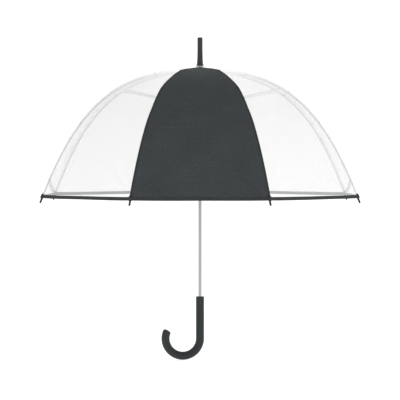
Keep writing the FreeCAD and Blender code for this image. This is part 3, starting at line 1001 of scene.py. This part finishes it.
def shaft():
    """The tube with its two catch slots, cut in the rear."""
    half = math.asin(SLOT_HALF / SHAFT_R)
    rear = math.pi / 2.0
    others = 60
    angles = [rear - half, rear, rear + half]
    angles += [rear + half + (2.0 * math.pi - 2.0 * half) * k / others for k in range(1, others)]
    stops = sorted({SHAFT_BOTTOM, SHAFT_TOP} | {z for slot in SLOTS for z in slot})
    heights = []
    for low, high in zip(stops, stops[1:]):
        count = max(2, int((high - low) / (12.0 * MM)))
        heights += [low + (high - low) * k / count for k in range(count)]
    heights.append(SHAFT_TOP)
    rows, cols = len(heights), len(angles)

    def open_cell(i, j):
        middle = (heights[i] + heights[i + 1]) / 2.0
        return j in (0, 1) and any(low < middle < high for low, high in SLOTS)

    points = []
    for radius in (SHAFT_R, SHAFT_BORE_R):
        for z in heights:
            points += [Vector((radius * math.cos(t), radius * math.sin(t), z)) for t in angles]
    inner = rows * cols
    faces = []
    for i in range(rows - 1):
        for j in range(cols):
            a, b = i * cols + j, i * cols + (j + 1) % cols
            if open_cell(i, j):
                continue
            faces.append((a, b, b + cols, a + cols))
            faces.append((inner + a, inner + a + cols, inner + b + cols, inner + b))
            if open_cell(i, (j + 1) % cols):
                faces.append((b, inner + b, inner + b + cols, b + cols))
            if open_cell(i, j - 1 if j else cols - 1):
                faces.append((a, a + cols, inner + a + cols, inner + a))
            if i + 2 < rows and open_cell(i + 1, j):
                faces.append((a + cols, b + cols, inner + b + cols, inner + a + cols))
            if i > 0 and open_cell(i - 1, j):
                faces.append((a, inner + a, inner + b, b))
    last = (rows - 1) * cols
    for j in range(cols):
        m = (j + 1) % cols
        faces.append((j, inner + j, inner + m, m))
        faces.append((last + j, last + m, inner + last + m, inner + last + j))
    obj = make("shaft", points, faces, CHROME)
    sharpen(obj, 40.0)
    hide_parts("shaft_tube")
    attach(obj, "shaft")


def crook_at(length):
    """A point of the handle's middle line, and the direction along it, length below its top."""
    straight = GRIP_TOP - CROOK_Z
    if length <= straight:
        return Vector((0.0, 0.0, GRIP_TOP - length)), -UP
    turn = (length - straight) / CROOK_R
    centre = Vector((-CROOK_R, 0.0, CROOK_Z))
    at = centre + Vector((CROOK_R * math.cos(turn), 0.0, -CROOK_R * math.sin(turn)))
    return at, Vector((-math.sin(turn), 0.0, -math.cos(turn)))


def handle():
    """The crook: a grip with a socket for the shaft, swept along its middle line."""
    total = GRIP_TOP - CROOK_Z + CROOK_R * CROOK_TURN
    across = Vector((0.0, 1.0, 0.0))

    def at(length, radius):
        centre, along = crook_at(min(length, total))
        return ring(centre, across.cross(along), across, HANDLE_POINTS, radius)

    rings = [at(SOCKET_DEEP, SOCKET_R), at(0.0, SOCKET_R), at(0.0, SOCKET_LIP_R)]
    for k in range(9):
        t = k / 8 * math.pi / 2.0
        rings.append(at(GRIP_EDGE * (1 - math.cos(t)), GRIP_R - GRIP_EDGE * (1 - math.sin(t))))
    first, last = GRIP_EDGE, total - CROOK_EDGE
    for k in range(1, HANDLE_ROWS + 1):
        rings.append(at(first + (last - first) * k / HANDLE_ROWS, GRIP_R))
    for k in range(1, 13):
        t = k / 12 * math.pi / 2.0
        rings.append(at(last + CROOK_EDGE * math.sin(t), GRIP_R - CROOK_EDGE * (1 - math.cos(t))))
    for part in (0.75, 0.45, 0.15):
        rings.append(at(total, (GRIP_R - CROOK_EDGE) * part))
    points, faces = loft(rings)
    obj = make("crook_handle", points, faces, HANDLE)
    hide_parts("handle")
    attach(obj, "shaft")


# Outlines of the two turned parts, as (r, z) in mm.
FERRULE_OUTLINE = (
    (4.05, 729.9), (8.8, 729.9), (9.16, 730.1), (9.2, 730.5), (8.85, 731.6), (8.4, 732.8),
    (8.0, 734.2), (7.65, 735.9), (7.4, 737.4), (7.22, 739.4), (7.1, 742.5), (6.85, 750.0),
    (6.6, 760.0), (6.4, 770.0), (6.4, 780.0), (6.4, 790.0), (6.4, 798.2), (6.34, 798.8),
    (6.1, 799.4), (5.6, 799.8), (4.9, 800.0), (3.0, 800.0), (1.5, 800.0), (0.05, 800.0),
    (0.05, 745.6), (4.05, 745.6),
)
WASHER_OUTLINE = ((4.05, 726.8), (9.8, 726.8), (9.8, 728.4), (9.3, 729.88), (4.05, 729.88))
WASHER_EDGE = 0.5 * MM


def ferrule():
    """The long cap on top, flared at its foot."""
    points, faces = lathe([(r * MM, z * MM) for r, z in FERRULE_OUTLINE])
    obj = make("ferrule_cap", points, faces, FERRULE)
    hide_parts("ferrule")
    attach(obj, "shaft")


def washer():
    """The clear cup between the ferrule and the film."""
    outline = [(r * MM, z * MM) for r, z in WASHER_OUTLINE]
    points, faces = lathe(rounded(outline, WASHER_EDGE))
    obj = make("cup_washer", points, faces, CLEAR_CUP)
    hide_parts("ferrule_washer")
    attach(obj, "shaft")


# ----------------
# Closing strap, on the rear half panel beside rib 5
# ----------------
STRAP_MARGIN = 2.0 * MM
STRAP_STITCHES = 1.6 * MM
STRAP_STITCH_LIFT = 1.25 * MM

# The snap stud, in mm: height above the tape's face, radius.
STUD = (
    (0.0, 5.0), (0.55, 5.0), (0.85, 4.7), (0.95, 4.2), (0.75, 3.6), (0.72, 2.4), (0.95, 2.0), (1.05, 1.2)
)
STUD_UP = 9.0 * MM
STUD_LIFT = 1.2 * MM


def strap_wave(part):
    """The strap's slow waves off the film, at a part from 0 to 1 of its length."""
    return sum(size * math.sin(turn * part) for size, turn in STRAP_WAVES)


def strap():
    """A tape with a seam down each side and a snap stud near its foot."""
    place = PLACES.index("rear")
    points, uvs, weights = [], [], []
    for under in (0.0, STRAP_THICK):
        for i in range(STRAP_ROWS + 1):
            s = STRAP_START + (STRAP_END - STRAP_START) * i / STRAP_ROWS
            for j in range(STRAP_COLUMNS):
                part = j / (STRAP_COLUMNS - 1)
                across = STRAP_NEAR + STRAP_WIDE * part
                u = across / half_width(s)
                cup = STRAP_CUP * (2.0 * part - 1.0) ** 2
                lift = STRAP_LIFT + strap_wave(i / STRAP_ROWS) + cup - under
                points.append(film_point(place, u, s, lift))
                uvs.append((s, across))
                weights.append(1.0 - u)
    rows, cols = STRAP_ROWS + 1, STRAP_COLUMNS
    back = rows * cols
    faces = grid_faces(rows, cols, flip=True) + grid_faces(rows, cols, base=back)
    faces += rim_faces(rows, cols, back, 1)
    slots = [0] * len(faces)
    for edge in (STRAP_STITCHES, STRAP_WIDE - STRAP_STITCHES):
        s = STRAP_START + STRAP_MARGIN
        while s + STITCH_LONG < STRAP_END - STRAP_MARGIN:
            ends = []
            for at in (s, s + STITCH_LONG):
                wave = strap_wave((at - STRAP_START) / (STRAP_END - STRAP_START))
                u = (STRAP_NEAR + edge) / half_width(at)
                ends.append(film_point(place, u, at, STRAP_STITCH_LIFT + wave))
            normal = panel_normal(place, film_line(s)[2])
            new_points, new_faces = add_mesh(points, faces, stitch(*ends, normal))
            slots += [1] * new_faces
            uvs += [(s, 0.0)] * new_points
            weights += [1.0 - (STRAP_NEAR + edge) / half_width(s)] * new_points
            s += STITCH_STEP
    s = STRAP_END - STUD_UP
    u = (STRAP_NEAR + STRAP_WIDE / 2.0) / half_width(s)
    normal = panel_normal(place, film_line(s)[2])
    centre = film_point(place, u, s, STUD_LIFT)
    side = round_dir(2 * HALF_GORE * place)
    top = normal.cross(side)
    studs = [ring(centre + normal * (high * MM), side, top, 32, r * MM) for high, r in STUD]
    new_points, new_faces = add_mesh(points, faces, loft(studs))
    slots += [2] * new_faces
    uvs += [(s, 0.0)] * new_points
    weights += [1.0 - u] * new_points
    obj = make("strap_tape", points, faces, [STRAP_TAPE, THREAD, SNAP], uvs, slots)
    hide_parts("closing_strap")
    fold(obj, "hem_rear", place, weights)


for _number in range(1, RIBS + 1):
    seam(_number)
    tip_pocket(_number)
    ties(_number)
    rib(_number)
strap()
shaft()
handle()
ferrule()
washer()

# ----------------
# Materials of the carried-over CAD parts
# ----------------
FINISHES = {
    "crown": MOULDED, "runner": MOULDED, "rib_tip": TIP, "rib_joint": STRETCHER_PAINT,
    "stretcher": STRETCHER_PAINT, "crown_wire": SPRING_STEEL, "runner_wire": SPRING_STEEL,
    "stop_pin": SPRING_STEEL, "upper_catch": SPRING_STEEL, "lower_catch": SPRING_STEEL,
}
for _node, _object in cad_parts.items():
    if _object.hide_render:
        continue
    _kind = _node.rstrip("0123456789").rstrip("_")
    _object.data.materials.clear()
    _object.data.materials.append(FINISHES[_kind])
    sharpen(_object)

# ----------------
# Stage, light and camera
# ----------------
SWEEP_FRONT = -9.0
SWEEP_BACK = 7.0
SWEEP_HIGH = 9.0
SWEEP_SIDE = 14.0
SWEEP_BEND = 3.0
SWEEP_DROP = 0.0004

KEY_AT = (3.6, -1.6, 1.5)
KEY_AIM = (0.0, 0.0, 0.5)
KEY_SIZE = 1.8
KEY_POWER = 14.0

# The strength of the light from all round: left and right, then level and overhead.
LEFT_RIGHT = (0.85, 0.87)
LEVEL_OVERHEAD = (1.12, 0.55)

CAMERA_AT = (0.0, -3.645, 0.4923)
CAMERA_DOWN = 1.4875
CAMERA_LENS = 132.26
CAMERA_SENSOR = 36.0


def sweep():
    """A floor that curves up into a wall behind."""
    flat = SWEEP_BACK - SWEEP_BEND
    line = [(SWEEP_FRONT, 0.0), (flat, 0.0)]
    for k in range(1, 17):
        t = k / 16 * math.pi / 2.0
        line.append((flat + SWEEP_BEND * math.sin(t), SWEEP_BEND * (1.0 - math.cos(t))))
    line.append((SWEEP_BACK, SWEEP_HIGH))
    points = [Vector((x, y, z - SWEEP_DROP)) for y, z in line for x in (-SWEEP_SIDE, SWEEP_SIDE)]
    floor = make("paper_sweep", points, grid_faces(len(line), 2), stage_material())


def key_light():
    """A soft square light from the right."""
    light = bpy.data.lights.new("key", "AREA")
    light.shape = "SQUARE"
    light.size = KEY_SIZE
    light.energy = KEY_POWER
    obj = bpy.data.objects.new("key", light)
    obj.location = KEY_AT
    obj.rotation_euler = (Vector(KEY_AIM) - Vector(KEY_AT)).to_track_quat("-Z", "Y").to_euler()
    bpy.context.collection.objects.link(obj)


def studio():
    """Soft light from all round, strongest level with the ground."""
    world = bpy.data.worlds.new("studio")
    world.use_nodes = True
    tree = world.node_tree
    where = tree.nodes.new("ShaderNodeTexCoord")
    parts = tree.nodes.new("ShaderNodeSeparateXYZ")
    product = tree.nodes.new("ShaderNodeMath")
    product.operation = "MULTIPLY"
    tree.links.new(where.outputs["Generated"], parts.inputs[0])
    spans = (("X", -1.0, 1.0, LEFT_RIGHT), ("Z", 0.0, 1.0, LEVEL_OVERHEAD))
    for i, (axis, low, high, strengths) in enumerate(spans):
        spread = tree.nodes.new("ShaderNodeMapRange")
        tree.links.new(parts.outputs[axis], spread.inputs["Value"])
        tree.links.new(spread.outputs["Result"], product.inputs[i])
        values = (low, high, *strengths)
        for name, value in zip(("From Min", "From Max", "To Min", "To Max"), values):
            spread.inputs[name].default_value = value
    tree.links.new(product.outputs[0], tree.nodes["Background"].inputs["Strength"])
    tree.nodes["Background"].inputs["Color"].default_value = (1.0, 1.0, 1.0, 1.0)
    bpy.context.scene.world = world


def place_camera():
    """In front, a little above half height, looking a little down."""
    camera = bpy.data.cameras.new("camera")
    camera.sensor_width = CAMERA_SENSOR
    camera.lens = CAMERA_LENS
    obj = bpy.data.objects.new("camera", camera)
    obj.location = CAMERA_AT
    obj.rotation_euler = (math.radians(90.0 - CAMERA_DOWN), 0.0, 0.0)
    bpy.context.collection.objects.link(obj)
    bpy.context.scene.camera = obj


sweep()
key_light()
studio()
bpy.context.scene.view_settings.view_transform = "Standard"
place_camera()
